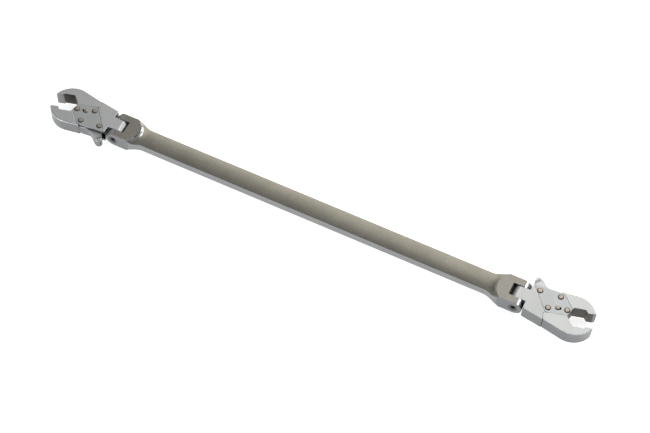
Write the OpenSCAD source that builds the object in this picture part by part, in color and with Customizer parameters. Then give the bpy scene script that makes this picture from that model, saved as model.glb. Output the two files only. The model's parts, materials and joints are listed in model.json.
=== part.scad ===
// Double-ended flex-head line wrench with spring-loaded ratcheting jaws.
// Origin: the middle of the handle, on its mid-plane. +X runs to the right-hand head,
// +Z is up. The left-hand head is the right-hand head turned half a turn about Z.
// Inside a head, u runs outwards from the flex screw and v towards the thumb lever.

/* [Overall] */
// Distance between the two flex screw axes
pin_span = 304; // [200:1:420]
// Thickness of a head, face to face
head_t = 10.8; // [8:0.1:12]
// Thickness of the forks on the handle's ends
fork_t = 11.8; // [9:0.1:14]
// Width of the handle bar
bar_w = 14.7; // [12:0.1:18]
// Height of the bar's flat polished sides
rail_h = 5.8; // [4:0.1:6.8]
// Thickness of the bar over its crowned faces
bar_t = 8.2; // [7:0.1:9]
// Width across a fork's two ears
fork_w = 20; // [17:0.1:24]

/* [Jaws] */
// Nut size across flats
across_flats = 14; // [10:0.5:17]
// How far the jaw opening is turned from the head's length
grip_turn = 15; // [10:0.5:18]
// Distance from the flex screw to the apex of the throat
throat_u = 34.94; // [34:0.1:44]
// Sideways place of the apex of the throat
throat_v = -2.94; // [-3.6:0.1:-2]
// Wall of the fixed jaw outside its flat
fixed_wall = 8.3; // [6:0.1:11]
// Wall of the moving jaw outside its flat
moving_wall = 8.1; // [6:0.1:11]
// Length of the moving jaw's lip round the nut's corner
moving_lip = 2.9; // [1:0.1:3.5]
// Length of the fixed jaw's lip round the nut's corner
fixed_lip = 1.2; // [0.5:0.1:2]
// Angle that the moving jaw opens by
jaw_opening = 8; // [4:0.5:9]
// Spacing of the teeth on the fixed jaw
tooth_pitch = 0.8; // [0.5:0.05:1.5]
// Depth of the teeth on the fixed jaw
tooth_depth = 0.35; // [0.2:0.05:0.5]

/* [Head] */
// Thickness of the cover plate, and of the floor under it
plate_t = 2; // [1.2:0.1:2.6]
// Half width of the head at its shoulders
shoulder_v = 10.2; // [9.8:0.1:13]
// Half width of the head where the fixed jaw begins
split_v = 12.65; // [12.4:0.05:14]
// Distance from the flex screw to the side seam of the fixed jaw
split_u = 21.6; // [21:0.1:22.5]
// Width of the tang in the fork
tang_w = 9.4; // [7:0.1:10]
// Gap between a shoulder and the fork's ears
shoulder_gap = 0.5; // [0.3:0.1:1.5]
// Shank radius of the pivot rivet
pivot_r = 1.6; // [1.2:0.05:1.9]
// Shank radius of the other rivets
rivet_r = 1.2; // [0.8:0.05:1.4]
// Radius of the rivet heads
rivet_head_r = 2.15; // [2:0.05:2.2]
// Height of the domed rivet heads
rivet_dome = 0.45; // [0.2:0.05:0.75]
// Shank radius of the guide pin
guide_r = 1.1; // [0.8:0.05:1.3]
// Radius of the guide pin's head
guide_head_r = 1.7; // [1.5:0.05:1.9]

/* [Flex joint] */
// Shank radius of the flex screw
screw_r = 2.3; // [1.8:0.05:2.8]
// Radius of the flex screw's head
screw_head_r = 3.2; // [3:0.05:4]
// Depth that the flex screw's head sits in the ear
screw_head_h = 2.6; // [2:0.1:3]
// Key size of the flex screw's socket, across flats
socket_w = 3; // [2:0.1:3.6]
// Radius of the friction plunger behind the tang
plunger_r = 1.8; // [1.4:0.05:2.2]
// Length of the friction plunger
plunger_l = 4.8; // [3:0.1:6]
// Depth of the plunger's bore behind the slot
plunger_bore = 10; // [9:0.1:12]

/* [Springs] */
// Wire diameter of the springs
wire_d = 0.5; // [0.3:0.05:0.6]
// Outer radius of the jaw's return spring
return_r = 1.8; // [1.4:0.05:2.1]
// Depth of the return spring's bore
return_bore = 6; // [4:0.1:7]

/* [Fits] */
// Gap along a seam between two pieces of a head
seam = 0.12; // [0.08:0.01:0.2]
// Clearance round a turning shank, on the radius
running = 0.05; // [0.02:0.01:0.1]
// Clearance round a fixed shank, on the radius
snug = 0.02; // [0.01:0.01:0.04]
// Clearance beside the tang, on each side
tang_gap = 0.1; // [0.05:0.01:0.3]

/* [Hidden] */
$fn = 64;
eps = 0.01;
far = 60;

// Flex joint and fork
pin_half = pin_span / 2;
ear_r = fork_t / 2;
shoulder_u = ear_r + shoulder_gap;
slot_depth = head_t / 2 + 0.4;
slot_w = tang_w + 2 * tang_gap;
pad_end = 11;
pad_arc_r = 12.2;
pad_reach = 15.6;
flare_from = 12;
flare_to = 22;
screw_end = fork_w / 2 - 1;

// Layers of a head: floor, tongues, cover
mid_h = head_t / 2 - plate_t;
slide_h = mid_h - running;

// Places of the rivets in a head, as [u, v]
jaw_rivet_a = [33.6, 1.0];
jaw_rivet_b = [21.5, -2.8];
guide_at = [27.2, -0.1];
pivot_at = [26.2, 8.7];
stop_at = [12.05, 7.1];
pivot_boss_r = 3.4;

// Jaw opening: a hexagon whose apex is the throat
side = across_flats / sqrt(3);
flat_d = across_flats / 2;
function grip(s, d) = [
    throat_u + s * cos(grip_turn) - d * sin(grip_turn),
    throat_v + s * sin(grip_turn) + d * cos(grip_turn)
];
mouth_moving_d = flat_d - moving_lip * sin(60);
mouth_fixed_d = -flat_d + fixed_lip * sin(60);
nut_at = grip(side, 0);
fixed_nose = [nut_at[0] - 3.85, 0];
fixed_nose_r = flat_d + fixed_wall;
moving_nose = [nut_at[0] - 4, 0];
moving_nose_r = flat_d + moving_wall;
fixed_slope = 11;
moving_slope = 10;

// Seat of the fixed jaw: the seam's rounded corner and its run to the side
seat_corner = grip(-16, 0);
seat_r = 1.5;
split_at = [split_u, -split_v];

// Return spring, across the head under the cover
spring_u = 13.2;
spring_wall = -3.4;
spring_face = 3.6;

// Above this, the lever's root has the whole depth of the shoulder to swing in
lever_room_v = 8.1;

// Small vector helpers
function unit(p) = p / norm(p);
function heading(p) = atan2(p[1], p[0]);
function about(c, r, a) = [c[0] + r * cos(a), c[1] + r * sin(a)];
function flat2(p) = [p[0], p[1]];

// Outer tangent points of two circles [x, y, r] met in anticlockwise order
function tangents(a, b) =
    let (
        d = flat2(b) - flat2(a),
        n = heading(d) - acos((a[2] - b[2]) / norm(d))
    )
    [about(a, a[2], n), about(b, b[2], n)];

// Convex outline with a round corner of its own at each point [x, y, r]
module round_poly(corners, grow = 0) {
    c = [for (p = corners) [p[0], p[1], p[2] + grow]];
    n = len(c);
    polygon([for (i = [0 : n - 1]) each tangents(c[i], c[(i + 1) % n])]);
    for (p = c) {
        if (p[2] > 0) translate([p[0], p[1]]) circle(p[2]);
    }
}

// Slot of constant width along an arc, its round ends a hair wider so that they cut its sides
module arc_slot(centre, r, from, to, half_w) {
    translate(about(centre, r, from)) circle(1.02 * half_w);
    translate(about(centre, r, to)) circle(1.02 * half_w);
    intersection() {
        translate(centre) difference() {
            circle(r + half_w);
            circle(r - half_w);
        }
        polygon([centre, about(centre, 2 * r, from), about(centre, 2 * r, to)]);
    }
}

module slab(from, to) {
    translate([0, 0, from]) linear_extrude(to - from) children();
}

module bore(at, r) {
    translate([at[0], at[1], -head_t]) cylinder(h = 2 * head_t, r = r);
}

// Coil spring standing on Z = 0
module coil(r_out, length, turns) {
    sides = 6;
    steps = 12;
    n = turns * steps;
    wr = wire_d / 2;
    rm = r_out - wr;
    points = [
        for (i = [0 : n])
            let (a = 360 * i / steps, z = wr + (length - wire_d) * i / n)
            for (j = [0 : sides - 1])
                let (b = 360 * j / sides, q = rm + wr * cos(b))
                [q * cos(a), q * sin(a), z + wr * sin(b)]
    ];
    walls = [
        for (i = [0 : n - 1], j = [0 : sides - 1])
            [i * sides + j, (i + 1) * sides + j,
             (i + 1) * sides + (j + 1) % sides, i * sides + (j + 1) % sides]
    ];
    start = [for (j = [0 : sides - 1]) j];
    end = [for (j = [sides - 1 : -1 : 0]) n * sides + j];
    polyhedron(points, concat(walls, [start], [end]), convexity = 10);
}

// ---- outlines of a head ----

// The nut's hexagon and the way in to it between the two lips
module mouth() {
    polygon([
        grip(0, 0), grip(side / 2, flat_d), grip(1.5 * side, flat_d),
        grip(1.5 * side + moving_lip / 2, mouth_moving_d), grip(far, mouth_moving_d),
        grip(far, mouth_fixed_d), grip(1.5 * side + fixed_lip / 2, mouth_fixed_d),
        grip(1.5 * side, -flat_d), grip(side / 2, -flat_d)
    ]);
}

// Nose arc of a jaw and the straight side that runs back from it
module jaw_outline(nose, r, slope, sign) {
    touch = nose + r * [-sin(slope), sign * cos(slope)];
    back = touch + far / 2 * [-cos(slope), -sign * sin(slope)];
    translate(nose) circle(r, $fn = 128);
    polygon([nose, touch, back, [back[0], 0]]);
}

// Everything on the fixed jaw's side of its seam, with a rounded inner corner
module jaw_seat(grow = 0) {
    a = unit(grip(1, 0) - grip(0, 0));
    b = unit(split_at - seat_corner);
    half = acos(a * b) / 2;
    inward = unit(a + b);
    corner = seat_corner - inward * grow / sin(half);
    r = seat_r + grow;
    run = r / tan(half);
    polygon([
        corner + a * run, corner + b * run, corner + b * far,
        corner + b * far + a * 2 * far, corner + a * 2 * far
    ]);
    translate(corner + inward * r / sin(half)) circle(r);
}

// Cover plate: a corner each at the throat, the seat, the lever and the pivot
function cover_corners() = [
    [throat_u, throat_v + seam, 0],
    concat(grip(side / 2, flat_d) - 1.9 * (grip(side / 2, flat_d) - grip(0, 0)) / side, 0),
    concat(pivot_at, pivot_boss_r),
    [7.9 + 0.7, 9.7, 0.9],
    concat(grip(-14.6, seam), 0)
];
module cover_outline(grow = 0) {
    round_poly(cover_corners(), grow);
}

// Block behind the cover that carries the tang
module rear_block() {
    polygon([
        [shoulder_u, -shoulder_v], [split_u + 1.4, -split_v - 0.1], [split_u, -5.4],
        [12, 4], [8.4, shoulder_v - 0.9], [shoulder_u + 0.9, shoulder_v], [shoulder_u, shoulder_v]
    ]);
}

// Cheeks of the moving jaw, the part that is as thick as the head
module cheek_outline() {
    difference() {
        jaw_outline(moving_nose, moving_nose_r, moving_slope, 1);
        polygon([grip(-far, 0), grip(0, 0), grip(far, 0), grip(far, -far), grip(-far, -far)]);
        polygon([
            pivot_at, about(pivot_at, far, 98), [-far, far], [-far, -far], [throat_u, -far], grip(0, 0)
        ]);
        cover_outline(seam);
        mouth();
    }
}

// Tongue of the fixed jaw, under the cover: a strip with a lug for each rivet
module fixed_tongue() {
    polygon([grip(-15.2, -seam), grip(0, -seam), grip(0, 0), grip(0, 2.3), grip(-15.2, 2.3)]);
    intersection() {
        union() {
            translate(jaw_rivet_a) circle(2.4);
            polygon([grip(0, 0), grip(3.1, 5.4), grip(0.2, 6.4), grip(-2.6, 4.6), grip(-2.6, 0)]);
        }
        polygon([grip(-4, -1), grip(0, -1), grip(0, 0), grip(0.55 * far, 0.55 * far * tan(60)),
                 grip(-4, far)]);
    }
    translate(jaw_rivet_b) circle(2.4);
    polygon([grip(-15.2, 0), grip(-10.5, 0), grip(-10.5, 3.6), grip(-15.2, 3.6)]);
}

// Tongue of the moving jaw, under the cover: guide finger, tail and thumb lever
module moving_tongue() {
    line_v = function(u) tan(moving_slope) * (u - moving_nose[0] + moving_nose_r * sin(moving_slope))
        + moving_nose_r * cos(moving_slope) - seam;
    polygon([
        grip(-4.95, 7.0), grip(-2.3, 7.0), grip(0.6, 6.85), grip(3.52, 6.1), grip(5, 8.5),
        [31, line_v(31)], [20.6, line_v(20.6)],
        [17.6, 12.5], [15.6, 13.3], [13.8, 14.5], [12.2, 16.0], [10.3, 17.4],
        [6.0, 17.0], [5.75, 15.0], [8.2, 11.0], [9.2, 7.1],
        [10.4, spring_face], [15.8, spring_face], [23.8, 3.2], grip(-8.55, 7.2)
    ]);
    translate([8.2, 15.6]) circle(2.5);
    translate(stop_at) circle(2.9);
    translate(guide_at) circle(1.8);
    polygon([grip(-8.55, 4.75), grip(-4.95, 4.75), grip(-4.95, 9), grip(-8.55, 9)]);
}

// Room in the head body for the tongues, open towards the lever
module pocket() {
    polygon([
        grip(-14.9, -3), [18.6, spring_wall], [8.6, spring_wall], [7.5, spring_wall + 1.2],
        [7.5, lever_room_v], [shoulder_u - 1, lever_room_v], [shoulder_u - 1, far],
        [far, far], [far, -far / 2], grip(-14.9, -far / 2)
    ]);
}

// ---- pieces of a head, in the head's own frame ----

module head_body() color("darkgray") {
    difference() {
        union() {
            slab(-head_t / 2, head_t / 2) rear_block();
            slab(-head_t / 2, -mid_h) cover_outline();
            translate([0, -tang_w / 2, 0]) {
                translate([0, 0, -head_t / 2]) cube([shoulder_u + 2, tang_w, head_t]);
                rotate([-90, 0, 0]) cylinder(h = tang_w, r = head_t / 2, $fn = 128);
            }
        }
        slab(-head_t, head_t) jaw_seat(seam);
        slab(mid_h, head_t) cover_outline(seam);
        slab(-mid_h, mid_h) pocket();
        translate([0, -tang_w, 0]) rotate([-90, 0, 0]) cylinder(h = 2 * tang_w, r = screw_r + running);
        translate([spring_u, spring_wall - return_bore, 0]) rotate([-90, 0, 0])
            cylinder(h = return_bore + 1, r = return_r + 0.15);
        bore(jaw_rivet_a, rivet_r + snug);
        bore(jaw_rivet_b, rivet_r + snug);
        bore(stop_at, rivet_r + snug);
        bore(pivot_at, pivot_r + snug);
    }
}

module cover_plate() color("silver") {
    difference() {
        slab(mid_h, head_t / 2) cover_outline();
        bore(jaw_rivet_a, rivet_r + snug);
        bore(jaw_rivet_b, rivet_r + snug);
        bore(stop_at, rivet_r + snug);
        bore(pivot_at, pivot_r + snug);
        slab(-head_t, head_t) guide_slot();
    }
}

module guide_slot() {
    arm = guide_at - pivot_at;
    arc_slot(pivot_at, norm(arm), heading(arm) - 1, heading(arm) + jaw_opening + 1, guide_r + 2 * running);
}

module fixed_jaw() color("lightgray") {
    difference() {
        union() {
            slab(-head_t / 2, head_t / 2) intersection() {
                jaw_seat();
                jaw_outline(fixed_nose, fixed_nose_r, fixed_slope, -1);
            }
            slab(-mid_h, mid_h) fixed_tongue();
        }
        slab(-head_t, head_t) mouth();
        slab(-head_t, head_t) teeth();
        bore(jaw_rivet_a, rivet_r + snug);
        bore(jaw_rivet_b, rivet_r + snug);
    }
}

// Grooves between the teeth on the fixed jaw's flat
module teeth() {
    count = floor((side - 0.6) / tooth_pitch);
    start = side - count * tooth_pitch / 2;
    for (i = [0 : count - 1]) {
        s = start + i * tooth_pitch;
        polygon([
            grip(s, -flat_d + eps), grip(s + tooth_pitch / 2, -flat_d - tooth_depth),
            grip(s + tooth_pitch, -flat_d + eps)
        ]);
    }
}

module moving_jaw() color("gainsboro") {
    arm = stop_at - pivot_at;
    difference() {
        union() {
            slab(-head_t / 2, head_t / 2) cheek_outline();
            slab(-slide_h, slide_h) moving_tongue();
        }
        slab(-head_t, head_t) mouth();
        bore(pivot_at, pivot_r + running);
        bore(guide_at, guide_r + snug);
        slab(-head_t, head_t)
            arc_slot(pivot_at, norm(arm), heading(arm) - jaw_opening - 0.5, heading(arm) + 0.5,
                     rivet_r + 2 * running);
    }
}

// Domed head of a rivet, standing on Z = 0
module dome(r) {
    ball = (r * r + rivet_dome * rivet_dome) / (2 * rivet_dome);
    intersection() {
        translate([0, 0, rivet_dome - ball]) sphere(ball, $fn = 96);
        cylinder(h = rivet_dome + 1, r = r);
    }
}

module rivet(at, shank) {
    translate([at[0], at[1], 0]) {
        translate([0, 0, -head_t / 2]) cylinder(h = head_t, r = shank);
        for (flip = [0, 180]) rotate([flip, 0, 0]) translate([0, 0, head_t / 2]) dome(rivet_head_r);
    }
}

module pivot_rivet() color("tan") rivet(pivot_at, pivot_r);

module stop_rivet() color("tan") rivet(stop_at, rivet_r);

module jaw_rivets() color("tan") {
    rivet(jaw_rivet_a, rivet_r);
    rivet(jaw_rivet_b, rivet_r);
}

module guide_pin() color("tan") {
    translate([guide_at[0], guide_at[1], 0]) {
        translate([0, 0, -slide_h]) cylinder(h = slide_h + head_t / 2 + 2 * running, r = guide_r);
        translate([0, 0, head_t / 2 + running]) dome(guide_head_r);
    }
}

module return_spring() color("dimgray") {
    translate([spring_u, spring_wall - return_bore + running, 0]) rotate([-90, 0, 0])
        coil(return_r, spring_face - spring_wall + return_bore - 2 * running, 8);
}

// ---- pieces of the flex joint, in the head's own frame ----

module flex_screw() color("dimgray") {
    head_y = -fork_w / 2;
    difference() {
        union() {
            translate([0, head_y + 0.2, 0]) rotate([-90, 0, 0])
                cylinder(h = screw_head_h - 0.2, r = screw_head_r);
            translate([0, head_y + 1, 0]) rotate([-90, 0, 0])
                cylinder(h = screw_end - head_y - 1, r = screw_r);
        }
        translate([0, head_y, 0]) rotate([-90, 0, 0])
            cylinder(h = 1.7, r = socket_w / sqrt(3), $fn = 6);
    }
}

module plunger() color("goldenrod") {
    nose = -head_t / 2 - running;
    intersection() {
        translate([nose - plunger_l, 0, 0]) rotate([0, 90, 0]) cylinder(h = plunger_l, r = plunger_r);
        translate([nose - 3.2, 0, 0]) union() {
            sphere(3.2);
            translate([-plunger_l - 2, -far / 2, -far / 2]) cube([plunger_l + 2, far, far]);
        }
    }
}

module plunger_spring() color("dimgray") {
    from = -slot_depth - plunger_bore;
    to = -head_t / 2 - running - plunger_l;
    translate([from + running, 0, 0]) rotate([0, 90, 0]) coil(plunger_r - 0.1, to - from - 2 * running, 4);
}

// ---- handle ----

// Half of the S-shaped flare from the fork's width down to the bar's
function flare(from_u, to_u, from_v, to_v) = [
    for (i = [0 : 12])
        let (t = i / 12, k = (1 - cos(180 * t)) / 2)
        [from_u + (to_u - from_u) * t, from_v + (to_v - from_v) * k]
];

module handle_plan() {
    edge = flare(pin_half - flare_to, pin_half - flare_from, bar_w / 2, fork_w / 2);
    right = concat(edge, [[pin_half + ear_r, fork_w / 2]]);
    n = len(right);
    quarter = function(sx, sy) [for (p = right) [sx * p[0], sy * p[1]]];
    flip = function(list) [for (i = [len(list) - 1 : -1 : 0]) list[i]];
    polygon(concat(quarter(1, 1), flip(quarter(1, -1)), quarter(-1, -1), flip(quarter(-1, 1))));
}

// Flat pad of a fork, its inner end rounded in plan, its outer end rounded about the screw
module fork_pad() {
    slab(-ear_r, ear_r) intersection() {
        translate([-pad_reach, -fork_w / 2]) square([pad_reach, fork_w]);
        union() {
            translate([pad_arc_r - pad_reach, 0]) circle(pad_arc_r, $fn = 128);
            translate([-pad_end, -fork_w / 2]) square([pad_end, fork_w]);
        }
    }
    translate([0, -fork_w / 2, 0]) rotate([-90, 0, 0]) cylinder(h = fork_w, r = ear_r, $fn = 128);
}

// Section of the bar: flat sides and crowned faces
module bar_section() {
    rise = (bar_t - rail_h) / 2;
    crown_r = (bar_w * bar_w / 4 + rise * rise) / (2 * rise);
    intersection() {
        translate([-fork_w / 2, -bar_t / 2]) square([fork_w, bar_t]);
        translate([0, bar_t / 2 - crown_r]) circle(crown_r, $fn = 256);
        translate([0, crown_r - bar_t / 2]) circle(crown_r, $fn = 256);
    }
}

module handle() color("rosybrown") {
    difference() {
        union() {
            intersection() {
                translate([-pin_half + pad_end - 6, 0, 0]) rotate([90, 0, 90])
                    linear_extrude(pin_span - 2 * pad_end + 12) bar_section();
                slab(-fork_t, fork_t) handle_plan();
            }
            for (end = [0, 180]) rotate([0, 0, end]) translate([pin_half, 0, 0]) fork_pad();
        }
        for (sign = [-1, 1]) translate([sign * pin_half, 0, 0]) {
            translate([-slot_depth + (sign > 0 ? 0 : -far + 2 * slot_depth), -slot_w / 2, -far / 2])
                cube([far, slot_w, far]);
            translate([0, -fork_w, 0]) rotate([-90, 0, 0])
                cylinder(h = fork_w + screw_end + 0.2, r = screw_r + snug);
            translate([0, -fork_w, 0]) rotate([-90, 0, 0])
                cylinder(h = fork_w / 2 + screw_head_h, r = screw_head_r + snug);
            translate([-sign * (slot_depth + plunger_bore / 2 - 1), 0, 0]) rotate([0, 90, 0])
                cylinder(h = plunger_bore + 2, r = plunger_r + running, center = true);
        }
    }
}

// ---- placing ----

module on_right() {
    translate([pin_half, 0, 0]) children();
}

module on_left() {
    rotate([0, 0, 180]) on_right() children();
}

// The screw heads are on the same side of the tool at both ends
module screw_on_left() {
    translate([-pin_half, 0, 0]) children();
}

handle();
on_left() head_body();  // left_head_body
on_left() cover_plate();  // left_cover_plate
on_left() fixed_jaw();  // left_fixed_jaw
on_left() moving_jaw();  // left_moving_jaw
on_left() guide_pin();  // left_guide_pin
on_left() pivot_rivet();  // left_pivot_rivet
on_left() stop_rivet();  // left_stop_rivet
on_left() jaw_rivets();  // left_jaw_rivets
on_left() return_spring();  // left_return_spring
screw_on_left() flex_screw();  // left_flex_screw
on_left() plunger();  // left_plunger
on_left() plunger_spring();  // left_plunger_spring
on_right() head_body();  // right_head_body
on_right() cover_plate();  // right_cover_plate
on_right() fixed_jaw();  // right_fixed_jaw
on_right() moving_jaw();  // right_moving_jaw
on_right() guide_pin();  // right_guide_pin
on_right() pivot_rivet();  // right_pivot_rivet
on_right() stop_rivet();  // right_stop_rivet
on_right() jaw_rivets();  // right_jaw_rivets
on_right() return_spring();  // right_return_spring
on_right() flex_screw();  // right_flex_screw
on_right() plunger();  // right_plunger
on_right() plunger_spring();  // right_plunger_spring
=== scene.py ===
# %% [markdown]
# A double-ended line wrench. Each end is a flat steel head that flexes on a screw in the
# handle's fork, and each head holds a fixed jaw and a sprung jaw that opens to ratchet.
# The working model gives every piece, its place and its joints. This lesson keeps that
# model as a fixed frame and makes the looks over it: soft edges, a forged handle, rivets,
# springs and the different finishes of the steel.

# %% Load the frame and keep its size
import json
import math

import bmesh
import bpy
from mathutils import Matrix, Vector
from mathutils.bvhtree import BVHTree


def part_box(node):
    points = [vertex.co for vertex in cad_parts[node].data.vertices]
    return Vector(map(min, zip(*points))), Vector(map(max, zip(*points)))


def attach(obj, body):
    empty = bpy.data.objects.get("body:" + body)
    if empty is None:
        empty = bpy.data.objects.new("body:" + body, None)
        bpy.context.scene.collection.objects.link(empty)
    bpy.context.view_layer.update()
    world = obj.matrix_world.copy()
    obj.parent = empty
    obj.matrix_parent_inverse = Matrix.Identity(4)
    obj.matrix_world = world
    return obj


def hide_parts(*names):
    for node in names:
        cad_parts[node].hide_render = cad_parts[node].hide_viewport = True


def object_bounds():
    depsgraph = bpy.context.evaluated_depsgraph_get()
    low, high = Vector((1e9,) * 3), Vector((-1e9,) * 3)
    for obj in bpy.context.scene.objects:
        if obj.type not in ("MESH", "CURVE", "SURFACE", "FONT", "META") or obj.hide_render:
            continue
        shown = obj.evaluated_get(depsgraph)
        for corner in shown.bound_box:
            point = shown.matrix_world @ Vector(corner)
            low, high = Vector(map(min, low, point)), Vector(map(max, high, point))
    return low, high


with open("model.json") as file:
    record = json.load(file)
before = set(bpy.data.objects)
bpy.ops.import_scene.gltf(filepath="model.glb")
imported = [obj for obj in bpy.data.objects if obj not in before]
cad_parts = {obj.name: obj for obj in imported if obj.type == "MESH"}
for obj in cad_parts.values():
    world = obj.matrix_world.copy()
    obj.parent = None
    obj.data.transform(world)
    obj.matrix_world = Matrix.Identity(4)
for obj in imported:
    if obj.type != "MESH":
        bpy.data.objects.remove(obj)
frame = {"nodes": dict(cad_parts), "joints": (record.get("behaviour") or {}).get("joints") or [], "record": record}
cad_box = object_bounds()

MM = 0.001
joints = {joint["name"]: joint for joint in frame["joints"]}
mounts = {mount["name"]: mount for mount in frame["record"]["mounts"]}
print("pieces in the frame:", len(frame["nodes"]), "joints:", sorted(joints))

# %% [markdown]
# Both heads are the same, turned half a turn, so one set of sizes serves both. A place in
# a head is given as u, outwards from its flex screw, and v, towards its thumb lever. The
# sizes come from the frame's own boxes and joints, so a changed model still fits.

# %% Sizes read from the frame
SIDES = {"right": 1, "left": -1}
pin_x = joints["right_flex"]["pos_m"][0]
ear_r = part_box("handle")[1].z
fork_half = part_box("handle")[1].y
head_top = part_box("right_head_body")[1].z
nut_at = Vector(mounts["right_jaw_grip"]["pos_m"])


def on_head(side, u, v, z=0.0):
    """A place in a head, in metres in the frame."""
    sign = SIDES[side]
    return Vector((sign * (pin_x + u), sign * v, z))


def middle(node):
    """The middle of a node's box."""
    low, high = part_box(node)
    return (low + high) / 2


print(f"flex screws at x = +-{pin_x:.4f}, fork {2 * fork_half:.4f} wide, head {2 * head_top:.4f} thick")

# %% [markdown]
# The camera stands well back with a long lens, in front of the tool and a little to its
# right, and looks down steeply. The tool lies on a pale floor at the fork's lower face.

# %% Camera
CAMERA_AT = Vector((0.25041, -0.56197, 0.91243))
CAMERA_YAW = -0.40550
CAMERA_PITCH = -0.98110
CAMERA_ROLL = 0.05309
CAMERA_LENS = 88.832


def camera_turn(yaw, pitch, roll):
    """The camera's rotation from where it looks and how it is rolled."""
    look = Vector((math.sin(yaw) * math.cos(pitch), math.cos(yaw) * math.cos(pitch), math.sin(pitch)))
    right = look.cross(Vector((0, 0, 1))).normalized()
    up = right.cross(look)
    across = right * math.cos(roll) + up * math.sin(roll)
    above = up * math.cos(roll) - right * math.sin(roll)
    return Matrix((across, above, -look)).transposed().to_quaternion()


camera = bpy.data.objects.new("camera", bpy.data.cameras.new("camera"))
camera.data.lens = CAMERA_LENS
camera.data.sensor_width = 36
camera.data.clip_end = 20
camera.rotation_mode = "QUATERNION"
camera.location = CAMERA_AT
camera.rotation_quaternion = camera_turn(CAMERA_YAW, CAMERA_PITCH, CAMERA_ROLL)
bpy.context.scene.collection.objects.link(camera)
bpy.context.scene.camera = camera
print("camera at", tuple(round(c, 3) for c in camera.location))

# %% [markdown]
# Steel shows its lights, so the lights are drawn first. One broad panel behind the tool
# grazes the crowned handle and lights its far edge. A compact panel over the right end
# makes that head the brighter one, and one to the right and behind lights whatever leans
# that way, such as the hollow beside the left fork. A weak one serves the left head. A
# strip in front puts the white line on the handle's near edge, and the room itself stays
# dim so that the edge goes dark to the right.

# %% Lights


def panel(name, at, aim, size, watts, colour=(1, 1, 1)):
    """A soft rectangular light at a place, turned to its aim."""
    light = bpy.data.lights.new(name, "AREA")
    light.shape = "RECTANGLE"
    light.size = size[0]
    light.size_y = size[1]
    light.energy = watts
    light.color = colour
    lamp = bpy.data.objects.new(name, light)
    lamp.location = at
    lamp.rotation_mode = "QUATERNION"
    lamp.rotation_quaternion = (Vector(aim) - Vector(at)).to_track_quat("-Z", "Y")
    bpy.context.scene.collection.objects.link(lamp)
    return lamp


panel("back_panel", (0.1, 1.5, 0.75), (0, 0, 0), (2.6, 0.9), 13, (1.0, 0.97, 0.92))
panel("right_panel", (0.05, 0.59, 1.03), (0.19, 0, 0), (0.4, 0.4), 1.45)
panel("left_panel", (-0.74, 0.68, 1.2), (-0.19, 0, 0), (0.5, 0.5), 0.4)
panel("side_panel", (0.95, 0.75, 0.80), (0, 0, 0), (0.5, 0.5), 2.0)
panel("front_strip", (-0.75, -1.35, 0.72), (-0.12, 0, 0), (0.8, 0.35), 4, (0.94, 0.97, 1.0))

ROOM_LIGHT = 0.24
world = bpy.data.worlds.new("room")
world.use_nodes = True
world.node_tree.nodes["Background"].inputs["Color"].default_value = (0.95, 0.97, 1.0, 1)
world.node_tree.nodes["Background"].inputs["Strength"].default_value = ROOM_LIGHT
bpy.context.scene.world = world
bpy.context.scene.view_settings.view_transform = "Standard"

# %% [markdown]
# A finish is a small tree of shader nodes. Blasted steel has a fine grain that shows as
# tiny changes of tone, gloss and height, and a slow cloud over it from handling. Ground
# steel has the same grain drawn out into streaks. One function makes them all: streaks
# come from stretching the grain's coordinates. Everything reads Object coordinates, which
# stay with the piece when it moves.

# %% Finishes


def shader(name):
    """A new material with its node tree, its surface shader and its Object coordinates."""
    material = bpy.data.materials.new(name)
    material.use_nodes = True
    tree = material.node_tree
    surface = tree.nodes["Principled BSDF"]
    place = tree.nodes.new("ShaderNodeTexCoord")
    return material, tree, surface, place.outputs["Object"]


def grain_noise(tree, place, size, stretch=(1, 1, 1), turn=0.0, detail=3.0):
    """Noise whose grains are size metres across, stretched and turned about Z."""
    mapping = tree.nodes.new("ShaderNodeMapping")
    mapping.inputs["Rotation"].default_value = (0, 0, turn)
    mapping.inputs["Scale"].default_value = stretch
    noise = tree.nodes.new("ShaderNodeTexNoise")
    noise.inputs["Scale"].default_value = 1 / size
    noise.inputs["Detail"].default_value = detail
    tree.links.new(place, mapping.inputs["Vector"])
    tree.links.new(mapping.outputs["Vector"], noise.inputs["Vector"])
    return noise.outputs["Fac"]


def ramp(tree, factor, low, high, start=0.3, end=0.7):
    """A blend from one colour to another over a stretch of the factor."""
    blend = tree.nodes.new("ShaderNodeValToRGB")
    blend.color_ramp.elements[0].position = start
    blend.color_ramp.elements[1].position = end
    blend.color_ramp.elements[0].color = (*low, 1)
    blend.color_ramp.elements[1].color = (*high, 1)
    tree.links.new(factor, blend.inputs["Fac"])
    return blend.outputs["Color"]


def spread(tree, factor, low, high):
    """The factor's middle range laid over low to high."""
    node = tree.nodes.new("ShaderNodeMapRange")
    node.inputs["From Min"].default_value = 0.3
    node.inputs["From Max"].default_value = 0.7
    node.inputs["To Min"].default_value = low
    node.inputs["To Max"].default_value = high
    tree.links.new(factor, node.inputs["Value"])
    return node.outputs["Result"]


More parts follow.
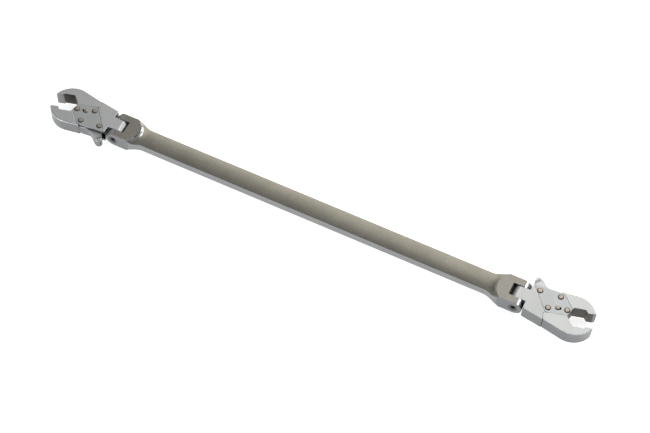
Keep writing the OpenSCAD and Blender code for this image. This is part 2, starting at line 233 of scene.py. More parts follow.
def steel(name, tone, gloss, grain=0.3 * MM, contrast=0.12, relief=0.02 * MM, metal=1.0,
          stretch=(1, 1, 1), turn=0.0, cloud=0.05):
    """A steel finish: tone is its colour, gloss its least and most roughness."""
    material, tree, surface, place = shader(name)
    fine = grain_noise(tree, place, grain, stretch, turn)
    slow = grain_noise(tree, place, 12 * MM, detail=2.0)
    dark = [c * (1 - contrast) for c in tone]
    light = [min(1, c * (1 + contrast)) for c in tone]
    grained = ramp(tree, fine, dark, light)
    clouded = ramp(tree, slow, [1 - cloud] * 3, [1, 1, 1])
    mix = tree.nodes.new("ShaderNodeMix")
    mix.data_type = "RGBA"
    mix.blend_type = "MULTIPLY"
    mix.inputs["Factor"].default_value = 1
    tree.links.new(grained, mix.inputs["A"])
    tree.links.new(clouded, mix.inputs["B"])
    tree.links.new(mix.outputs["Result"], surface.inputs["Base Color"])
    tree.links.new(spread(tree, fine, gloss[0], gloss[1]), surface.inputs["Roughness"])
    bump = tree.nodes.new("ShaderNodeBump")
    bump.inputs["Strength"].default_value = 0.6
    bump.inputs["Distance"].default_value = relief
    tree.links.new(fine, bump.inputs["Height"])
    tree.links.new(bump.outputs["Normal"], surface.inputs["Normal"])
    surface.inputs["Metallic"].default_value = metal
    return material


satin_head = steel("satin_head", (0.62, 0.63, 0.62), (0.42, 0.55))
satin_cover = steel("satin_cover", (0.55, 0.565, 0.565), (0.40, 0.52))
satin_jaw = steel("satin_jaw", (0.60, 0.61, 0.60), (0.36, 0.50))
# Bevels: worn polish, with a bright tone that is partly a painted highlight.
soft_edge = steel("soft_edge", (0.74, 0.75, 0.75), (0.22, 0.32), contrast=0.05, relief=0.004 * MM)
# Ground sides: a streaked grain, and a tone darker than the tops that is partly painted shade.
ground_side = steel("ground_side", (0.245, 0.25, 0.255), (0.28, 0.40), grain=0.25 * MM,
                    stretch=(0.15, 0.15, 1), relief=0.008 * MM)
blasted_band = steel("blasted_band", (0.365, 0.35, 0.295), (0.42, 0.60), grain=0.55 * MM,
                     contrast=0.22, relief=0.045 * MM, cloud=0.10)
milled_pad = steel("milled_pad", (0.315, 0.30, 0.265), (0.36, 0.50), grain=0.35 * MM,
                   stretch=(0.12, 1, 1), turn=math.radians(55), contrast=0.2)
polished_rail = steel("polished_rail", (0.30, 0.305, 0.31), (0.14, 0.24), grain=0.3 * MM,
                      stretch=(0.02, 1, 1), contrast=0.08, relief=0.004 * MM)
# Painted shade: a near-black finish for seams, recesses, the slot's ends and the thumb ridges.
black_gap = steel("black_gap", (0.13, 0.13, 0.13), (0.45, 0.6), contrast=0.25)
jaw_flat = steel("jaw_flat", (0.115, 0.105, 0.095), (0.35, 0.5), contrast=0.25, metal=0.8)
rivet_metal = steel("rivet_metal", (0.45, 0.39, 0.32), (0.28, 0.40), grain=0.4 * MM, contrast=0.12)
# Polished ends: low roughness, with a bright tone that is a painted highlight.
polished_end = steel("polished_end", (0.66, 0.67, 0.67), (0.18, 0.28), contrast=0.06, relief=0.004 * MM)
handle_edge = steel("handle_edge", (0.26, 0.265, 0.27), (0.12, 0.20), contrast=0.06, relief=0.004 * MM)
polished_tang = steel("polished_tang", (0.62, 0.63, 0.63), (0.34, 0.44), contrast=0.06, relief=0.004 * MM)


def paint_foot_shade(material, low, high, shade):
    """Paints shade on a finish towards the foot of a dome, by its height from the mid-plane."""
    tree = material.node_tree
    surface = tree.nodes["Principled BSDF"]
    colour = surface.inputs["Base Color"].links[0].from_socket
    place = tree.nodes.new("ShaderNodeTexCoord").outputs["Object"]
    split = tree.nodes.new("ShaderNodeSeparateXYZ")
    tree.links.new(place, split.inputs["Vector"])
    height = tree.nodes.new("ShaderNodeMath")
    height.operation = "ABSOLUTE"
    tree.links.new(split.outputs["Z"], height.inputs[0])
    fade = tree.nodes.new("ShaderNodeMapRange")
    fade.inputs["From Min"].default_value = low
    fade.inputs["From Max"].default_value = high
    tree.links.new(height.outputs["Value"], fade.inputs["Value"])
    mix = tree.nodes.new("ShaderNodeMix")
    mix.data_type = "RGBA"
    mix.inputs["A"].default_value = (*shade, 1)
    tree.links.new(fade.outputs["Result"], mix.inputs["Factor"])
    tree.links.new(colour, mix.inputs["B"])
    tree.links.new(mix.outputs["Result"], surface.inputs["Base Color"])


# Painted shade: a dark ring at the foot of each rivet's dome.
paint_foot_shade(rivet_metal, head_top + 0.22 * MM, head_top + 0.37 * MM, (0.06, 0.055, 0.05))
screw_metal = steel("screw_metal", (0.15, 0.15, 0.15), (0.30, 0.45), contrast=0.2)
brass_plunger = steel("brass_plunger", (0.56, 0.42, 0.22), (0.25, 0.4), contrast=0.12)
spring_wire = steel("spring_wire", (0.40, 0.40, 0.41), (0.2, 0.3), stretch=(1, 1, 0.2), contrast=0.12)
print("finishes:", len(bpy.data.materials))

# %% [markdown]
# The floor is plain and pale. It is lit by the same panels, and glows a little by itself
# so that it stays nearly white, with just a soft shadow where the tool touches it.

# %% Floor
FLOOR_HALF = 3.0
FLOOR_GLOW = 0.78
floor_mesh = bpy.data.meshes.new("floor")
floor_z = cad_box[0].z
corners = [(-1, -1), (1, -1), (1, 1), (-1, 1)]
floor_points = [(x * FLOOR_HALF, y * FLOOR_HALF, floor_z) for x, y in corners]
floor_mesh.from_pydata(floor_points, [], [(0, 1, 2, 3)])
floor = bpy.data.objects.new("floor", floor_mesh)
bpy.context.scene.collection.objects.link(floor)
paper, paper_tree, paper_surface, paper_place = shader("floor_paper")
paper_fleck = grain_noise(paper_tree, paper_place, 3 * MM)
paper_colour = ramp(paper_tree, paper_fleck, (0.90, 0.90, 0.90), (0.93, 0.93, 0.93))
paper_tree.links.new(paper_colour, paper_surface.inputs["Base Color"])
paper_surface.inputs["Roughness"].default_value = 0.9
paper_surface.inputs["Emission Color"].default_value = (1, 1, 1, 1)
paper_surface.inputs["Emission Strength"].default_value = FLOOR_GLOW
floor_mesh.materials.append(paper)
print("floor at z =", round(floor_z, 4))

# %% [markdown]
# A machined plate has sharp corners in the working model, but a real one is tumbled until
# its edges catch the light. A copy of each plate is merged, its flat faces are joined up,
# and a small bevel runs along every sharp edge. The bevel has a brighter finish of its
# own: partly the polish of worn edges, partly a painted highlight. The frame's own mesh is left alone.

# %% Plates with soft edges
SHARP = math.radians(28)


def clean_copy(node):
    """A bmesh of a node's shape with its loose triangles merged and its flats joined."""
    source = frame["nodes"][node].data
    bm = bmesh.new()
    points = [bm.verts.new(v.co) for v in source.vertices]
    for face in source.polygons:
        bm.faces.new([points[i] for i in face.vertices])
    bmesh.ops.remove_doubles(bm, verts=bm.verts, dist=0.002 * MM)
    bmesh.ops.dissolve_degenerate(bm, edges=bm.edges, dist=0.002 * MM)
    bmesh.ops.dissolve_limit(bm, angle_limit=math.radians(0.3), verts=bm.verts, edges=bm.edges,
                             delimit={"NORMAL"})
    bm.normal_update()
    return bm


def object_from(bm, name):
    """A linked object with the bmesh as its mesh."""
    mesh = bpy.data.meshes.new(name)
    bm.to_mesh(mesh)
    bm.free()
    obj = bpy.data.objects.new(name, mesh)
    bpy.context.scene.collection.objects.link(obj)
    return obj


def soften(obj, width, edge_finish, segments=2, weighed=False):
    """Bevels the sharp or the weighed edges and bakes the result into the mesh."""
    bevel = obj.modifiers.new("soft_edges", "BEVEL")
    bevel.width = width
    bevel.segments = segments
    bevel.limit_method = "WEIGHT" if weighed else "ANGLE"
    bevel.use_clamp_overlap = not weighed
    bevel.angle_limit = SHARP
    bevel.harden_normals = True
    if edge_finish is not None:
        obj.data.materials.append(edge_finish)
        bevel.material = len(obj.data.materials) - 1
    for face in obj.data.polygons:
        face.use_smooth = True
    bake(obj)


def bake(obj):
    """Turns the object's evaluated shape into a plain mesh and drops its modifiers."""
    bpy.context.view_layer.update()
    evaluated = obj.evaluated_get(bpy.context.evaluated_depsgraph_get())
    plain = bpy.data.meshes.new_from_object(evaluated)
    obj.modifiers.clear()
    obj.data = plain
    plain.name = obj.name


def dress(obj, finishes, pick):
    """Gives each face the finish that pick returns for its middle and its normal."""
    for finish in finishes:
        obj.data.materials.append(finish)
    for face in obj.data.polygons:
        face.material_index = finishes.index(pick(face.center, face.normal))


def stand_for(obj, node, body):
    """The piece takes the node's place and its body."""
    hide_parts(node)
    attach(obj, body)


def from_nut(point, side):
    """A place along and across the nut's own axes, from its middle."""
    sign = SIDES[side]
    du = sign * point.x - nut_at.x
    dv = sign * point.y - nut_at.y
    along = du * math.cos(GRIP_TURN) + dv * math.sin(GRIP_TURN)
    return along, dv * math.cos(GRIP_TURN) - du * math.sin(GRIP_TURN)


def in_mouth(point, side):
    """True on the walls of the nut's hexagon and on the moving jaw's lip."""
    along, across = from_nut(point, side)
    on_lip = along > LIP_FROM
    reach = LIP_REACH if on_lip else MOUTH_REACH
    return math.hypot(along, across) < reach and not (on_lip and across < 0)


def on_cheek_end(point, normal, side):
    """True on the moving jaw's wall that faces back towards the lever."""
    u = abs(point.x) - pin_x
    return SIDES[side] * normal.x < -0.6 and CHEEK_END[0] < u < CHEEK_END[1]


def plate_finish(side, top):
    """Satin faces, ground sides whose dark tone is partly painted shade, a polished tang, dark in the mouth, and
    painted shade in the pocket and on the cheek's end wall.
    """
    def pick(point, normal):
        if abs(point.x) < pin_x + 0.5 * head_top:
            return polished_tang
        # Painted shade: the cheek's end wall and the upward faces below the mid-plane, in the pocket, go
        # near-black.
        if on_cheek_end(point, normal, side) or (normal.z > 0.5 and point.z < 0):
            return black_gap
        if abs(normal.z) > 0.5:
            return top
        return jaw_flat if in_mouth(point, side) else ground_side
    return pick


def on_nose(point, side):
    """True on the outer arc of the moving jaw."""
    sign = SIDES[side]
    away = math.hypot(sign * point.x - NOSE_U, point.y)
    return abs(away - nose_r) < NOSE_SLACK and sign * point.y > 0


def at_throat(point, side):
    """True at the apex of the throat, where seam, tongue and mouth meet."""
    along, across = from_nut(point, side)
    return math.hypot(along + THROAT_AWAY, across) < THROAT_ROOM


def weigh_edges(obj, side, width, nose_width):
    """Marks each sharp edge with its bevel: wide on the nose and its tip, fine in the mouth.

    Edges without a bevel are marked sharp, so that their faces keep their own shading.
    """
    bm = bmesh.new()
    bm.from_mesh(obj.data)
    layer = bm.edges.layers.float.new("bevel_weight_edge")
    for edge in bm.edges:
        if len(edge.link_faces) != 2 or edge.calc_face_angle() < SHARP:
            continue
        mid = (edge.verts[0].co + edge.verts[1].co) / 2
        wide = width
        if any(at_throat(v.co, side) for v in edge.verts):
            wide = 0
        elif in_mouth(mid, side):
            wide = MOUTH_EDGE if nose_width > width else 0
        elif nose_width > width and all(on_nose(v.co, side) for v in edge.verts):
            upright = abs(edge.verts[0].co.z - edge.verts[1].co.z) > head_top
            wide = TIP_ROUND if upright else nose_width
        edge[layer] = wide / TIP_ROUND
        edge.smooth = wide > 0
    bm.to_mesh(obj.data)
    bm.free()


def paint_seam_shade(obj, side, part, reach):
    """Paints shade on every edge and wall that runs close beside a neighbouring plate, and on the cheek's end
    wall.

    Bevels keep their bright finish, partly worn polish and partly a painted highlight, only along the flat faces;
    upright corners take the ground sides' finish.
    """
    others = [shapes[side, name] for name in plates if name != part]
    obj.data.materials.append(black_gap)
    dark = len(obj.data.materials) - 1
    names = [finish.name for finish in obj.data.materials]
    mouth, ground = names.index("jaw_flat"), names.index("ground_side")
    for face in obj.data.polygons:
        if abs(face.normal.z) > 0.98:
            continue
        upright = abs(face.normal.z) < 0.3
        near = SIDE_SEAM if upright else reach
        close = any(tree.find_nearest(face.center, near)[0] for tree in others)
        # Painted shade in the seams between plates and on the cheek's end wall.
        if close or on_cheek_end(face.center, face.normal, side):
            face.material_index = dark
        elif in_mouth(face.center, side) and abs(face.normal.z) < 0.6:
            face.material_index = mouth
        # Upright bevels lose the painted highlight and take the ground sides' finish.
        elif upright and obj.data.materials[face.material_index].name == "soft_edge":
            face.material_index = ground


# Body, slot, finish, bevel, bevel on the nose and reach of the painted seam shade
plates = {
    "cover_plate": ("head", "cover_steel", satin_cover, 0.08 * MM, 0.08 * MM, 0.12 * MM),
    "fixed_jaw": ("head", "jaw_steel", satin_jaw, 0.30 * MM, 0.30 * MM, 0.30 * MM),
    "moving_jaw": ("moving_jaw", "jaw_steel", satin_jaw, 0.30 * MM, 0.80 * MM, 0.20 * MM),
    "head_body": ("head", "head_steel", satin_head, 0.20 * MM, 0.20 * MM, 0.20 * MM),
}
GRIP_TURN = math.radians(15)
TIP_ROUND = 2.0 * MM
MOUTH_EDGE = 0.08 * MM
SIDE_SEAM = 0.35 * MM
MOUTH_REACH = 8.0 * MM
LIP_FROM = 4.05 * MM
LIP_REACH = 9.2 * MM
CHEEK_END = (19 * MM, 31 * MM)
THROAT_AWAY = 14 / math.sqrt(3) * MM
THROAT_ROOM = 0.5 * MM
NOSE_U = nut_at.x - 4 * MM
NOSE_SLACK = 0.1 * MM
jaw_points = [v.co for v in frame["nodes"]["right_moving_jaw"].data.vertices]
nose_r = max(math.hypot(p.x - NOSE_U, p.y) for p in jaw_points if p.x > NOSE_U)
shapes = {}
for side in SIDES:
    for part in plates:
        shape = clean_copy(f"{side}_{part}")
        shapes[side, part] = BVHTree.FromBMesh(shape)
        shape.free()
for side in SIDES:
    for part, (body, slot, top, width, nose_width, reach) in plates.items():
        node = f"{side}_{part}"
        plate = object_from(clean_copy(node), f"{node}_finished")
        dress(plate, [top, ground_side, jaw_flat, polished_tang, black_gap], plate_finish(side, top))
        weigh_edges(plate, side, width, nose_width)
        soften(plate, TIP_ROUND, soft_edge, weighed=True)
        paint_seam_shade(plate, side, part, reach)
        stand_for(plate, node, f"{side}_{body}")
        lowest = min(v.co.z for v in plate.data.vertices)
        print(plate.name, len(plate.data.polygons), "faces, lowest point", round(1000 * lowest, 2), "mm")

# %% [markdown]
# The screws and plungers are turned parts. Their shapes are right in the working model, so
# they get the same soft edges and their own finishes.

# %% Screws and plungers
turned = {"flex_screw": (screw_metal, "screw_steel"), "plunger": (brass_plunger, "plunger_steel")}
for side in SIDES:
    for part, (finish, slot) in turned.items():
        node = f"{side}_{part}"
        piece = object_from(clean_copy(node), f"{node}_finished")
        piece.data.materials.append(finish)
        soften(piece, 0.2 * MM, None)
        stand_for(piece, node, "handle")
        print(piece.name, len(piece.data.polygons), "faces")

# %% [markdown]
# The handle is forged: a crowned, blasted bar with a polished rail along each edge, which
# flares into a thick fork. The pad of the fork ends in an arc, and the bar sweeps up to it
# in a hollow fillet. That shape follows a rule, so it is laid out as rows of points: each
# row crosses the bar, the rows bend into the pad's arc, and a height rule lifts them.

# %% The handle's rules, in metres from its middle
bar_half = 7.35 * MM
rail_half = 2.9 * MM
crown = 1.2 * MM
pad_arc_r = 12.2 * MM
pad_arc_x = pin_x - 3.4 * MM
fillet_run = 7.0 * MM
flare_from = pin_x - 22 * MM
flare_to = pin_x - 12 * MM
ROW_POINTS = 28
PAD_CORNER = 0.25 * MM


def half_width(x):
    """Half the handle's width: the bar, then an S-shaped flare out to the fork."""
    t = min(1, max(0, (x - flare_from) / (flare_to - flare_from)))
    return bar_half + (fork_half - bar_half) * (1 - math.cos(math.pi * t)) / 2


def arc_x(t):
    """Where the row of the pad's arc stands, t across the bar from -1 to 1."""
    x = flare_to
    for _ in range(12):
        y = t * half_width(x)
        x = pad_arc_x - math.sqrt(pad_arc_r ** 2 - y ** 2)
    return x


def bar_height(x, t):
    """Half the handle's thickness on the bar and up the fillet to the pad."""
    base = rail_half + crown * (1 - t * t)
    short = arc_x(t) - x
    if short >= fillet_run:
        return base
    lift = (1 - max(0, short) / fillet_run) ** 2.4
    return base + (ear_r - base) * lift


def handle_rows():
    """Rows of (x, half width, height) points from the middle to one end."""
    across = [2 * i / ROW_POINTS - 1 for i in range(ROW_POINTS + 1)]
    rows = []
    for i in range(12):
        x = (flare_from - 6 * MM) * i / 12
        rows.append([(x, t * half_width(x), bar_height(x, t)) for t in across])
    sweep = 22
    for i in range(sweep):
        k = (i / sweep) ** 0.85
        row = []
        for t in across:
            x = (flare_from - 6 * MM) * (1 - k) + (arc_x(t) - PAD_CORNER) * k
            row.append((x, t * half_width(x), bar_height(x, t)))
        rows.append(row)
    for shift in (-PAD_CORNER, 0):
        lift = 0.55 * MM if shift else 0
        rows.append([(arc_x(t) + shift, t * half_width(arc_x(t) + shift), ear_r - lift) for t in across])
    for k in (0.25, 0.5, 0.75):
        rows.append([(arc_x(t) * (1 - k) + pin_x * k, t * fork_half, ear_r) for t in across])
    round_end = 14
    for i in range(round_end):
        a = math.pi / 2 * i / round_end
        x = pin_x + ear_r * math.sin(a)
        rows.append([(x, t * fork_half, ear_r * math.cos(a)) for t in across])
    return rows


def handle_blank():
    """The closed forging: rows over the top, mirrored to the far end and the underside."""
    half = handle_rows()
    top = [[(-x, y, z) for x, y, z in row] for row in reversed(half[1:])] + half
    bm = bmesh.new()
    upper = [[bm.verts.new(p) for p in row] for row in top]
    lower = [[bm.verts.new((x, y, -z)) for x, y, z in row] for row in top]
    tips = [[bm.verts.new((x, y, 0)) for x, y, z in row] for row in (
        [(-pin_x - ear_r, y, 0) for x, y, z in top[0]], [(pin_x + ear_r, y, 0) for x, y, z in top[-1]])]
    upper = [tips[0]] + upper + [tips[1]]
    lower = [tips[0]] + lower + [tips[1]]
    last = len(upper[0]) - 1
    for a, b in zip(range(len(upper) - 1), range(1, len(upper))):
        for i in range(last):
            bm.faces.new((upper[a][i], upper[b][i], upper[b][i + 1], upper[a][i + 1]))
            bm.faces.new((lower[a][i], lower[a][i + 1], lower[b][i + 1], lower[b][i]))
        for i in (0, last):
            wall = [lower[a][i], lower[b][i], upper[b][i], upper[a][i]]
            bm.faces.new(list(dict.fromkeys(wall if i == 0 else reversed(wall))))
    bmesh.ops.recalc_face_normals(bm, faces=bm.faces)
    return bm


def solid_cylinder(at, axis_y, r, sides=64):
    """A closed cylinder along Y from axis_y[0] to axis_y[1]."""
    bm = bmesh.new()
    made = bmesh.ops.create_cone(bm, cap_ends=True, segments=sides, radius1=r, radius2=r,
                                 depth=axis_y[1] - axis_y[0])
    bmesh.ops.rotate(bm, verts=made["verts"], matrix=Matrix.Rotation(math.pi / 2, 3, "X"))
    bmesh.ops.translate(bm, verts=made["verts"], vec=(at, sum(axis_y) / 2, 0))
    return object_from(bm, "cutter")


def solid_box(low, high):
    """A closed box between two corners."""
    bm = bmesh.new()
    made = bmesh.ops.create_cube(bm, size=1)
    size = Vector(high) - Vector(low)
    bmesh.ops.scale(bm, verts=made["verts"], vec=size)
    bmesh.ops.translate(bm, verts=made["verts"], vec=(Vector(low) + Vector(high)) / 2)
    return object_from(bm, "cutter")


def cut(obj, cutters):
    """Cuts each closed cutter out of the object."""
    for cutter in cutters:
        boolean = obj.modifiers.new("cut", "BOOLEAN")
        boolean.operation = "DIFFERENCE"
        boolean.solver = "EXACT"
        boolean.object = cutter
        bake(obj)
        bpy.data.objects.remove(cutter)


handle = object_from(handle_blank(), "handle_finished")
print("handle blank:", len(handle.data.polygons), "faces")

# %% [markdown]
# The forging is then machined: a slot for the head's tang, a bore for the flex screw with
# a wider seat for its head, and a blind bore for the friction plunger. They are cut here
# with closed cutters, to the same sizes as the working model's.

# %% Slots and bores of the forks
slot_half = 4.8 * MM
slot_depth = head_top + 0.4 * MM
screw_low, screw_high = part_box("right_flex_screw")
screw_head_r = (screw_high.x - screw_low.x) / 2 + 0.02 * MM
screw_shank_r = 2.32 * MM
SCREW_HEAD_END = -fork_half + 2.6 * MM
CUT_FROM = -12 * MM
BORE_HALF = 6 * MM
BORE_R = 1.85 * MM
BORE_BACK = 4 * MM
cutters = []
for sign in (1, -1):
    ends = sorted((sign * (pin_x - slot_depth), sign * (pin_x + 20 * MM)))
    cutters.append(solid_box((ends[0], -slot_half, -9 * MM), (ends[1], slot_half, 9 * MM)))
    cutters.append(solid_cylinder(sign * pin_x, (CUT_FROM, screw_high.y + 0.2 * MM), screw_shank_r))
    cutters.append(solid_cylinder(sign * pin_x, (CUT_FROM, SCREW_HEAD_END), screw_head_r))
    bore = solid_cylinder(0, (-BORE_HALF, BORE_HALF), BORE_R, 32)
    bore_middle = sign * (pin_x - slot_depth - BORE_BACK)
    bore.data.transform(Matrix.Translation((bore_middle, 0, 0)) @ Matrix.Rotation(math.pi / 2, 4, "Z"))
    cutters.append(bore)
cut(handle, cutters)
print("handle cut:", len(handle.data.polygons), "faces")


# Reach of the painted highlight in the hollow in front of the left pad.
HOLLOW_HIGHLIGHT = 2.5 * MM


def handle_finish(point, normal):
    """Blasted crown, milled pads, polished rails, polished ends with a painted highlight, a painted highlight in
    the left fork's hollow, and painted shade on the slot walls.
    """
    x = abs(point.x)
    in_slot = x > pin_x - slot_depth - 12 * MM and abs(point.y) < slot_half + 0.01 * MM
    # Painted shade on the slot's inner walls.
    if in_slot and abs(normal.z) < 0.5:
        return ground_side if abs(normal.y) > 0.5 else black_gap
    t = max(-1, min(1, point.y / half_width(x)))
    # The ears' round ends: polished, with a painted highlight in their bright tone.
    if x > pin_x + 0.4 * MM and abs(normal.y) < 0.5:
        return polished_end
    if abs(normal.z) > 0.3 and x >= arc_x(t) - 0.01 * MM:
        return milled_pad
    # Painted highlight: only the left fork's hollow gets the bright end finish, though both ends have the same
    # shape.
    in_hollow = x > arc_x(t) - HOLLOW_HIGHLIGHT and abs(normal.z) < 0.96
    if in_hollow and abs(normal.y) < 0.5 and point.x < 0:
        return polished_end
    if abs(normal.y) > 0.75:
        return polished_rail if x < flare_to else ground_side
    return blasted_band


handle_finishes = [blasted_band, milled_pad, polished_rail, polished_end, ground_side, black_gap]
dress(handle, handle_finishes, handle_finish)
soften(handle, 0.35 * MM, handle_edge)
stand_for(handle, "handle", "handle")
edge_slot = [finish.name for finish in handle.data.materials].index("handle_edge")
edge_area = sum(f.area for f in handle.data.polygons if f.material_index == edge_slot)
print("handle finished:", len(handle.data.polygons), "faces, edges", round(edge_area * 1e6), "mm2")

# %% [markdown]
# Rivets repeat, so they are made with Geometry Nodes. The tree puts a shank and two domed
# heads on each point it is given. The dome is a flattened ball that sits half in the
# plate. The heads' radius, the dome's height, the shank and the grip are named inputs, so
# one tree makes the pivot rivet, the stop rivet and the jaw's pair.

# %% The rivet tree


def tree_input(tree, name, kind, value):
    """A named input on the tree, with its value to start from."""
    socket = tree.interface.new_socket(name, in_out="INPUT", socket_type=kind)
    socket.default_value = value
    return socket


def new_tree(name, sizes):
    """A Geometry Nodes tree with Geometry in and out and one input for each size."""
    tree = bpy.data.node_groups.new(name, "GeometryNodeTree")
    tree.interface.new_socket("Geometry", in_out="INPUT", socket_type="NodeSocketGeometry")
    tree.interface.new_socket("Geometry", in_out="OUTPUT", socket_type="NodeSocketGeometry")
    for size, value in sizes.items():
        tree_input(tree, size, "NodeSocketFloat", value)
    tree.interface.new_socket("Finish", in_out="INPUT", socket_type="NodeSocketMaterial")
    return tree, tree.nodes.new("NodeGroupInput"), tree.nodes.new("NodeGroupOutput")


def close_tree(tree, given, shown, geometry):
    """Realizes the instances, smooths them and sets the finish."""
    realize = tree.nodes.new("GeometryNodeRealizeInstances")
    smooth = tree.nodes.new("GeometryNodeSetShadeSmooth")
    paint = tree.nodes.new("GeometryNodeSetMaterial")
    tree.links.new(geometry, smooth.inputs["Geometry"])
    tree.links.new(smooth.outputs["Geometry"], realize.inputs["Geometry"])
    tree.links.new(realize.outputs["Geometry"], paint.inputs["Geometry"])
    tree.links.new(given.outputs["Finish"], paint.inputs["Material"])
    tree.links.new(paint.outputs["Geometry"], shown.inputs["Geometry"])


def vector_of(tree, x=None, y=None, z=None):
    """A vector from up to three linked numbers."""
    node = tree.nodes.new("ShaderNodeCombineXYZ")
    for axis, source in zip("XYZ", (x, y, z)):
        if source is not None:
            tree.links.new(source, node.inputs[axis])
    return node.outputs["Vector"]


def negative(tree, number):
    """The number with its sign turned."""
    node = tree.nodes.new("ShaderNodeMath")
    node.operation = "MULTIPLY"
    node.inputs[1].default_value = -1
    tree.links.new(number, node.inputs[0])
    return node.outputs["Value"]


def rivet_tree():
    """Shank and two domes on every point."""
    sizes = {"Head Radius": 2.15 * MM, "Dome Height": 0.6 * MM, "Shank Radius": 1.2 * MM,
             "Top": 4.6 * MM, "Bottom": 4.6 * MM}
    tree, given, shown = new_tree("rivets", sizes)
    join = tree.nodes.new("GeometryNodeJoinGeometry")
    ball = tree.nodes.new("GeometryNodeMeshUVSphere")
    ball.inputs["Segments"].default_value = 40
    ball.inputs["Rings"].default_value = 18
    ball.inputs["Radius"].default_value = 1
    radius = given.outputs["Head Radius"]
    flat = vector_of(tree, radius, radius, given.outputs["Dome Height"])
    for place in (given.outputs["Top"], negative(tree, given.outputs["Bottom"])):
        move = tree.nodes.new("GeometryNodeTransform")
        tree.links.new(ball.outputs["Mesh"], move.inputs["Geometry"])
        tree.links.new(vector_of(tree, z=place), move.inputs["Translation"])
        tree.links.new(flat, move.inputs["Scale"])
        tree.links.new(move.outputs["Geometry"], join.inputs["Geometry"])
    shank = tree.nodes.new("GeometryNodeMeshCylinder")
    shank.inputs["Vertices"].default_value = 40
    add = tree.nodes.new("ShaderNodeMath")
    tree.links.new(given.outputs["Top"], add.inputs[0])
    tree.links.new(given.outputs["Bottom"], add.inputs[1])
    tree.links.new(add.outputs["Value"], shank.inputs["Depth"])
    tree.links.new(given.outputs["Shank Radius"], shank.inputs["Radius"])
    halve = tree.nodes.new("ShaderNodeMath")
    halve.operation = "MULTIPLY_ADD"
    halve.inputs[1].default_value = 0.5
    tree.links.new(add.outputs["Value"], halve.inputs[0])
    tree.links.new(negative(tree, given.outputs["Bottom"]), halve.inputs[2])
    raise_shank = tree.nodes.new("GeometryNodeTransform")
    tree.links.new(shank.outputs["Mesh"], raise_shank.inputs["Geometry"])
    tree.links.new(vector_of(tree, z=halve.outputs["Value"]), raise_shank.inputs["Translation"])
    tree.links.new(raise_shank.outputs["Geometry"], join.inputs["Geometry"])
    place = tree.nodes.new("GeometryNodeInstanceOnPoints")
    tree.links.new(given.outputs["Geometry"], place.inputs["Points"])
    tree.links.new(join.outputs["Geometry"], place.inputs["Instance"])
    close_tree(tree, given, shown, place.outputs["Instances"])
    return tree


def grow(name, points, tree, sizes, finish):
    """Runs a tree on a few points and keeps the result as a plain mesh."""
    mesh = bpy.data.meshes.new(name)
    mesh.from_pydata(points, [], [])
    obj = bpy.data.objects.new(name, mesh)
    bpy.context.scene.collection.objects.link(obj)
    modifier = obj.modifiers.new("nodes", "NODES")
    modifier.node_group = tree
    sockets = {s.name: s.identifier for s in tree.interface.items_tree if s.in_out == "INPUT"}
    for size, value in sizes.items():
        modifier[sockets[size]] = value
    modifier[sockets["Finish"]] = finish
    bake(obj)
    return obj


rivets = rivet_tree()
print("rivet tree:", len(rivets.nodes), "nodes")

# %% [markdown]
# Each rivet goes where the working model has one: its axis is found from the highest points
# of its dome. The guide pin is shorter, because it stops inside the moving jaw.

# %% Rivets and guide pins
GUIDE_FOOT = 2.5 * MM
rivet_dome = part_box("right_pivot_rivet")[1].z - head_top


def rivet_places(node):
    """The axes of a node's rivets, from the vertices at the very top of their domes."""
    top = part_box(node)[1].z - 0.03 * MM
    crests = [v.co for v in frame["nodes"][node].data.vertices if v.co.z > top]
    places = []
    for crest in crests:
        near = [p for p in places if (p - crest).xy.length < 2 * MM]
        if not near:
            group = [c for c in crests if (c - crest).xy.length < 2 * MM]
            places.append(sum(group, Vector()) / len(group))
    return [(p.x, p.y, 0) for p in places]


rivet_sizes = {
    "pivot_rivet": ("head", 2.15 * MM, 1.6 * MM, head_top, head_top),
    "stop_rivet": ("head", 2.15 * MM, 1.2 * MM, head_top, head_top),
    "jaw_rivets": ("head", 2.15 * MM, 1.2 * MM, head_top, head_top),
    "guide_pin": ("moving_jaw", 1.7 * MM, 1.1 * MM, head_top + 0.05 * MM, head_top - GUIDE_FOOT),
}
for side in SIDES:
    for part, (body, head_r, shank_r, top, bottom) in rivet_sizes.items():
        node = f"{side}_{part}"
        sizes = {"Head Radius": head_r, "Dome Height": rivet_dome, "Shank Radius": shank_r,
                 "Top": top, "Bottom": bottom}
        piece = grow(f"{node}_finished", rivet_places(node), rivets, sizes, rivet_metal)
        stand_for(piece, node, f"{side}_{body}")
        print(piece.name, "at", [tuple(round(1000 * c, 1) for c in p) for p in rivet_places(node)])

# %% [markdown]
# The thumb lever has a few short ridges across its tip, pressed in so that the thumb does
# not slip. They repeat at an even spacing, so a tree lays a row of small bars along a line.

# %% Thumb ridges


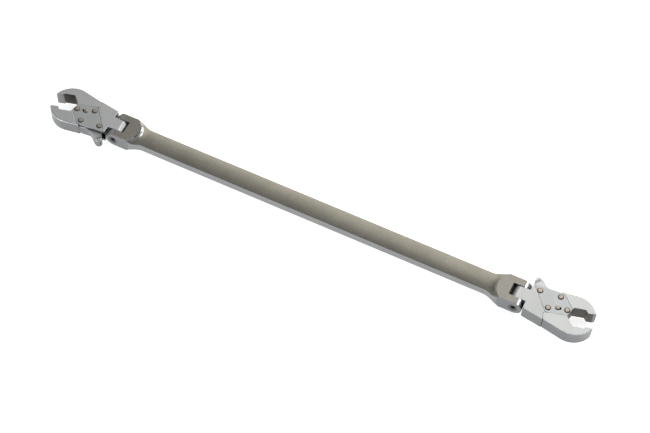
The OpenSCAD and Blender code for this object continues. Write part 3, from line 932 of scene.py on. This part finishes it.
def ridge_tree():
    """A row of small bars, evenly spaced and turned together, on each point."""
    sizes = {"Spacing": 1.0 * MM, "Length": 2.2 * MM, "Width": 0.35 * MM, "Height": 0.3 * MM,
             "Turn": 0.0}
    tree, given, shown = new_tree("ridges", sizes)
    line = tree.nodes.new("GeometryNodeMeshLine")
    line.inputs["Count"].default_value = RIDGE_COUNT
    tree.links.new(vector_of(tree, y=given.outputs["Spacing"]), line.inputs["Offset"])
    bar = tree.nodes.new("GeometryNodeMeshCube")
    size = vector_of(tree, given.outputs["Length"], given.outputs["Width"], given.outputs["Height"])
    tree.links.new(size, bar.inputs["Size"])
    row = tree.nodes.new("GeometryNodeInstanceOnPoints")
    tree.links.new(line.outputs["Mesh"], row.inputs["Points"])
    tree.links.new(bar.outputs["Mesh"], row.inputs["Instance"])
    place = tree.nodes.new("GeometryNodeInstanceOnPoints")
    tree.links.new(given.outputs["Geometry"], place.inputs["Points"])
    tree.links.new(row.outputs["Instances"], place.inputs["Instance"])
    tree.links.new(vector_of(tree, z=given.outputs["Turn"]), place.inputs["Rotation"])
    close_tree(tree, given, shown, place.outputs["Instances"])
    return tree


RIDGE_COUNT = 5
RIDGE_START = (7.2 * MM, 13.7 * MM)
lever_top = head_top - 2.05 * MM
ridges = ridge_tree()
for side, sign in SIDES.items():
    sizes = {"Spacing": 0.70 * MM, "Length": 1.8 * MM, "Width": 0.28 * MM, "Height": 0.2 * MM,
             "Turn": math.radians(-35 if sign > 0 else 145)}
    start = [on_head(side, *RIDGE_START, lever_top)]
    # Painted shade: the ridges are near-black to stand for the shade in their grooves.
    row = grow(f"{side}_thumb_ridges", start, ridges, sizes, black_gap)
    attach(row, f"{side}_moving_jaw")
    print(row.name, len(row.data.polygons), "faces")

# %% [markdown]
# A coil spring is a wire that follows a spiral. The tree draws the spiral, sweeps a small
# circle along it, and turns it to lie along the bore. The wire, the radius, the length and
# the number of turns are named inputs.

# %% Springs


def spring_tree():
    """A round wire swept along a spiral that stands on each point, along its Turn."""
    sizes = {"Coil Radius": 1.5 * MM, "Length": 10 * MM, "Wire Radius": 0.25 * MM, "Turns": 8.0,
             "Tilt X": 0.0, "Tilt Y": 0.0}
    tree, given, shown = new_tree("spring", sizes)
    spiral = tree.nodes.new("GeometryNodeCurveSpiral")
    spiral.inputs["Resolution"].default_value = 24
    tree.links.new(given.outputs["Turns"], spiral.inputs["Rotations"])
    tree.links.new(given.outputs["Coil Radius"], spiral.inputs["Start Radius"])
    tree.links.new(given.outputs["Coil Radius"], spiral.inputs["End Radius"])
    tree.links.new(given.outputs["Length"], spiral.inputs["Height"])
    wire = tree.nodes.new("GeometryNodeCurvePrimitiveCircle")
    wire.inputs["Resolution"].default_value = 10
    tree.links.new(given.outputs["Wire Radius"], wire.inputs["Radius"])
    sweep = tree.nodes.new("GeometryNodeCurveToMesh")
    sweep.inputs["Fill Caps"].default_value = True
    tree.links.new(spiral.outputs["Curve"], sweep.inputs["Curve"])
    tree.links.new(wire.outputs["Curve"], sweep.inputs["Profile Curve"])
    place = tree.nodes.new("GeometryNodeInstanceOnPoints")
    turn = vector_of(tree, given.outputs["Tilt X"], given.outputs["Tilt Y"])
    tree.links.new(given.outputs["Geometry"], place.inputs["Points"])
    tree.links.new(sweep.outputs["Mesh"], place.inputs["Instance"])
    tree.links.new(turn, place.inputs["Rotation"])
    close_tree(tree, given, shown, place.outputs["Instances"])
    return tree


springs = spring_tree()
wire_r = 0.25 * MM
for side, sign in SIDES.items():
    low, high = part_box(f"{side}_return_spring")
    mid = (low + high) / 2
    sizes = {"Coil Radius": (high.z - low.z) / 2 - wire_r, "Length": high.y - low.y - 2 * wire_r,
             "Wire Radius": wire_r, "Turns": 8.0, "Tilt X": -math.pi / 2, "Tilt Y": 0.0}
    foot = [(mid.x, low.y + wire_r, mid.z)]
    spring = grow(f"{side}_return_spring_finished", foot, springs, sizes, spring_wire)
    stand_for(spring, f"{side}_return_spring", f"{side}_head")
    low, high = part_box(f"{side}_plunger_spring")
    mid = (low + high) / 2
    sizes = {"Coil Radius": (high.z - low.z) / 2 - wire_r, "Length": high.x - low.x - 2 * wire_r,
             "Wire Radius": wire_r, "Turns": 4.0, "Tilt X": 0.0, "Tilt Y": math.pi / 2}
    foot = [(low.x + wire_r, mid.y, mid.z)]
    spring = grow(f"{side}_plunger_spring_finished", foot, springs, sizes, spring_wire)
    stand_for(spring, f"{side}_plunger_spring", "handle")
    print(side, "springs made")

# %% [markdown]
# Last, the working model's box is printed.

# %% Size
print("working model:", [tuple(round(c, 4) for c in p) for p in cad_box])
